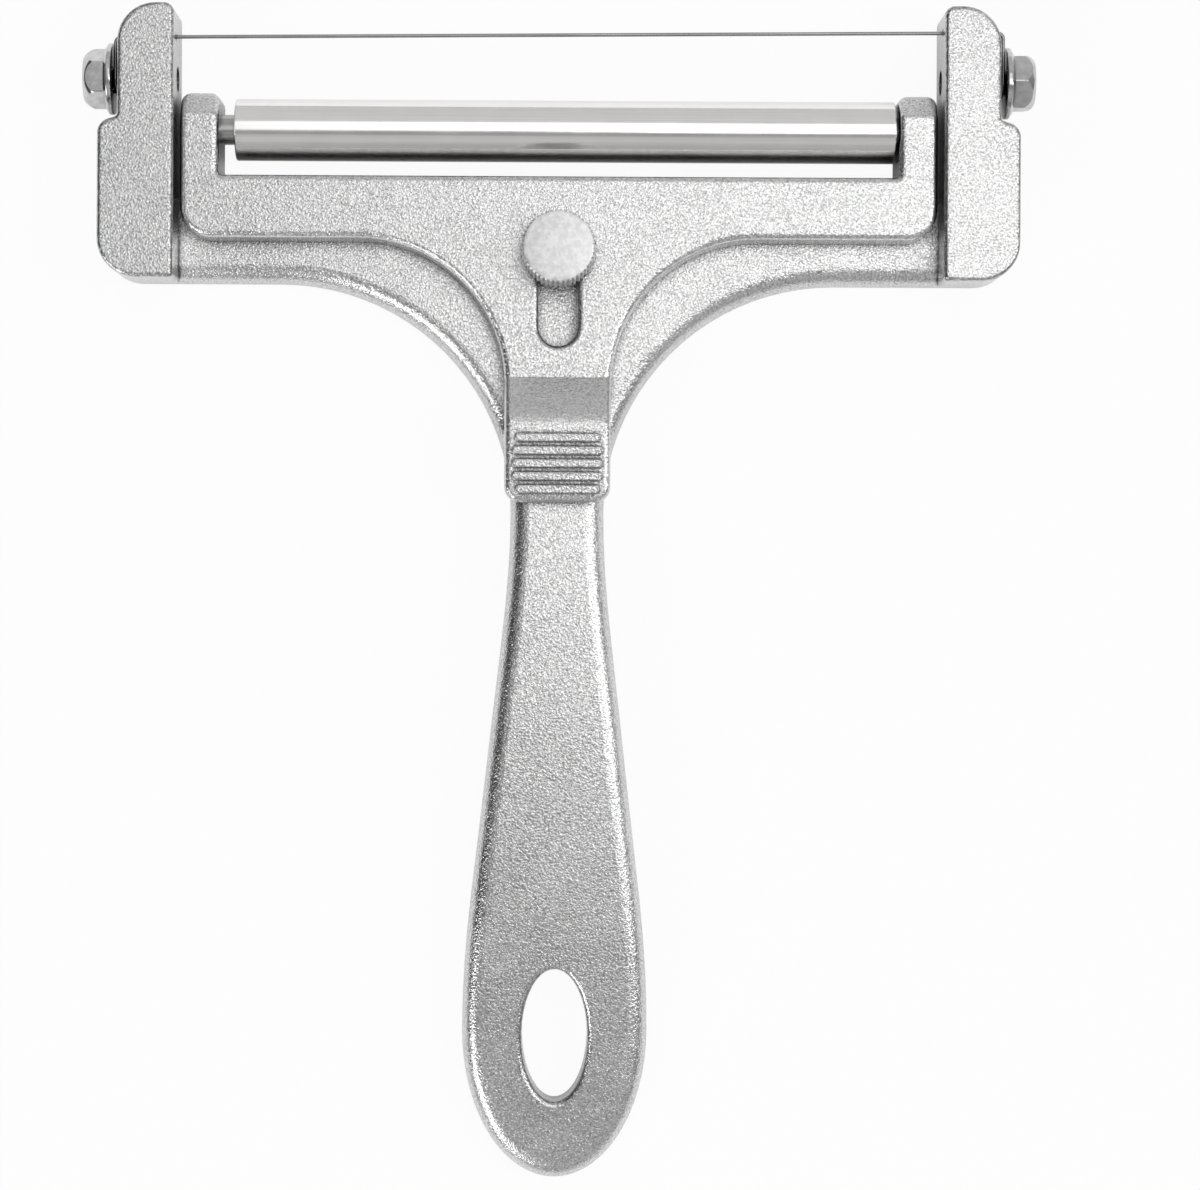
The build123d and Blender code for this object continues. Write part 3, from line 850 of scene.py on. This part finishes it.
@dataclass
class Viewpoint:
    """Camera straight above the front face.

    The foot is the point straight under the camera, and the foot pixel is where it lies in
    the picture. The scale holds at the scaled height above the table.
    """

    image_width: int = 1200
    image_height: int = 1190
    sensor_width_mm: float = 36.0
    height: float = 0.442
    scaled_height: float = 0.005
    metres_per_pixel: float = 0.134 * MM
    foot: tuple[float, float] = (-0.47 * MM, -0.55 * MM)
    foot_pixel: tuple[float, float] = (553.0, 600.0)
    roll: float = math.radians(0.30)
    nearest: float = 0.01

    def build(self) -> bpy.types.Object:
        """Set the camera up.

        Returns:
            The camera, which the scene now uses.
        """
        data = bpy.data.cameras.new("camera_above")
        span = self.image_width * self.metres_per_pixel
        data.sensor_width = self.sensor_width_mm
        data.lens = self.sensor_width_mm * (self.height - self.scaled_height) / span
        data.shift_x = (self.image_width / 2 - self.foot_pixel[0]) / self.image_width
        data.shift_y = (self.foot_pixel[1] - self.image_height / 2) / self.image_width
        data.clip_start = self.nearest
        camera = bpy.data.objects.new("camera_above", data)
        camera.location = (*self.foot, self.height)
        camera.rotation_euler = (0.0, 0.0, self.roll)
        bpy.context.scene.collection.objects.link(camera)
        bpy.context.scene.camera = camera
        return camera


@dataclass(frozen=True)
class Softbox:
    """Flat lamp with an even face."""

    name: str
    centre: tuple[float, float, float]
    size: tuple[float, float]
    radiance: float
    level: bool = False

    def build(self) -> None:
        """Hang the lamp, facing the slicer, or straight down if it is level."""
        data = bpy.data.lights.new(self.name, "AREA")
        data.shape = "RECTANGLE"
        data.size, data.size_y = self.size
        data.energy = self.radiance * math.pi * data.size * data.size_y
        lamp = bpy.data.objects.new(self.name, data)
        lamp.location = self.centre
        if not self.level:
            lamp.rotation_euler = Vector(self.centre).to_track_quat("Z", "Y").to_euler()
        lamp.visible_camera = False
        bpy.context.scene.collection.objects.link(lamp)


@dataclass
class Studio:
    """White table, softboxes above it and a soft sky around them.

    Each sky stop gives a place from the handle's side, 0, to the wire's side, 1, and the
    level of the sky there. Towards the left and the right the sky falls off to its own share.
    """

    table_half: float = 1.5
    table_drop: float = 0.2 * MM
    table_white: Colour = grey(0.92)
    table_glow: float = 0.94
    shade_reach: float = 0.035
    lamps: tuple[Softbox, ...] = (
        Softbox("overhead_softbox", (0.09, 0.235, 1.0), (0.50, 0.60), 0.79, level=True),
        Softbox("right_softbox", (0.47, 0.04, 0.95), (0.34, 1.0), 1.13),
        Softbox("right_strip_lamp", (0.82, -0.03, 0.85), (0.12, 0.80), 6.0),
        Softbox("low_left_lamp", (-0.77, -0.71, 0.62), (0.78, 0.34), 5.0),
    )
    sky_stops: tuple[tuple[float, float], ...] = (
        (0.0, 0.40), (0.07, 0.44), (0.15, 0.56), (0.27, 0.50), (0.32, 0.35), (0.35, 0.32),
        (0.39, 0.33), (0.45, 0.44), (0.71, 0.62), (0.85, 0.63), (1.0, 0.60))
    sky_left: float = 0.16
    sky_left_span: Span = (-0.62, -0.38)
    sky_right: float = 0.70
    sky_right_span: Span = (0.60, 0.85)

    def build(self) -> None:
        """Lay the table, hang the lamps and paint the sky."""
        self.lay_table()
        for lamp in self.lamps:
            lamp.build()
        self.paint_sky()

    def lay_table(self) -> None:
        """Make the white table top under the slicer."""
        reach = self.table_half
        corners = [(-reach, -reach), (reach, -reach), (reach, reach), (-reach, reach)]
        mesh = bpy.data.meshes.new("table_top")
        mesh.from_pydata([(x, y, -self.table_drop) for x, y in corners], [], [(0, 1, 2, 3)])
        table = bpy.data.objects.new("table_top", mesh)
        bpy.context.scene.collection.objects.link(table)
        mesh.materials.append(self.table_material())

    def table_material(self) -> bpy.types.Material:
        """Make the white of the table, which still takes a soft shadow and darkens in gaps.

        Returns:
            The material.
        """
        material = bpy.data.materials.new("white_table")
        material.use_nodes = True
        sheet = Sheet(material.node_tree)
        matt = sheet.add("ShaderNodeBsdfDiffuse", {"Color": (*self.table_white, 1.0)})
        glow = sheet.add("ShaderNodeEmission", {"Strength": 1.0})
        rays = sheet.add("ShaderNodeLightPath").outputs
        mirrored = sheet.sums("ADD", rays["Is Glossy Ray"], rays["Is Transmission Ray"])
        # Painted shade: the glow that metal mirrors is dimmed where the table lies close to the
        # slicer.
        shaded = sheet.sums("MULTIPLY", mirrored, sheet.openness(self.shade_reach))
        seen = sheet.sums("MINIMUM", sheet.sums("ADD", rays["Is Camera Ray"], shaded), 1.0)
        share = sheet.sums("MULTIPLY", seen, self.table_glow)
        mixed = sheet.add("ShaderNodeMixShader", {0: share, 1: matt.outputs[0], 2: glow.outputs[0]})
        sheet.add("ShaderNodeOutputMaterial", {"Surface": mixed.outputs[0]})
        return material

    def paint_sky(self) -> None:
        """Paint the soft surroundings, with a dim band above the handle and dimmer sides."""
        world = bpy.data.worlds.new("studio_surroundings")
        world.use_nodes = True
        bpy.context.scene.world = world
        sheet = Sheet(world.node_tree)
        direction = sheet.add("ShaderNodeTexCoord").outputs["Generated"]
        parts = sheet.add("ShaderNodeSeparateXYZ", {"Vector": direction}).outputs
        height = sheet.sums("MULTIPLY", sheet.sums("ADD", parts["Y"], 1.0), 0.5)
        level = sheet.ramp(height, [(place, grey(value)) for place, value in self.sky_stops])
        left = sheet.spread(parts["X"], *self.sky_left_span, self.sky_left, 1.0)
        right = sheet.spread(parts["X"], *self.sky_right_span, 1.0, self.sky_right)
        strength = sheet.sums("MULTIPLY", left, right)
        glow = sheet.add("ShaderNodeBackground", {"Color": level, "Strength": strength})
        sheet.add("ShaderNodeOutputWorld", {"Surface": glow.outputs["Background"]})


def main() -> None:
    """Build the camera, the studio and each sub-assembly in turn."""
    logging.basicConfig(level=logging.INFO, format="%(name)s: %(message)s")
    bpy.context.scene.view_settings.view_transform = "Standard"
    Viewpoint().build()
    Studio().build()
    for assembly in (CastFrame(), Carriage(), Roller(), WireSet(), ThumbScrew()):
        assembly.build()


if __name__ == "__main__":
    main()
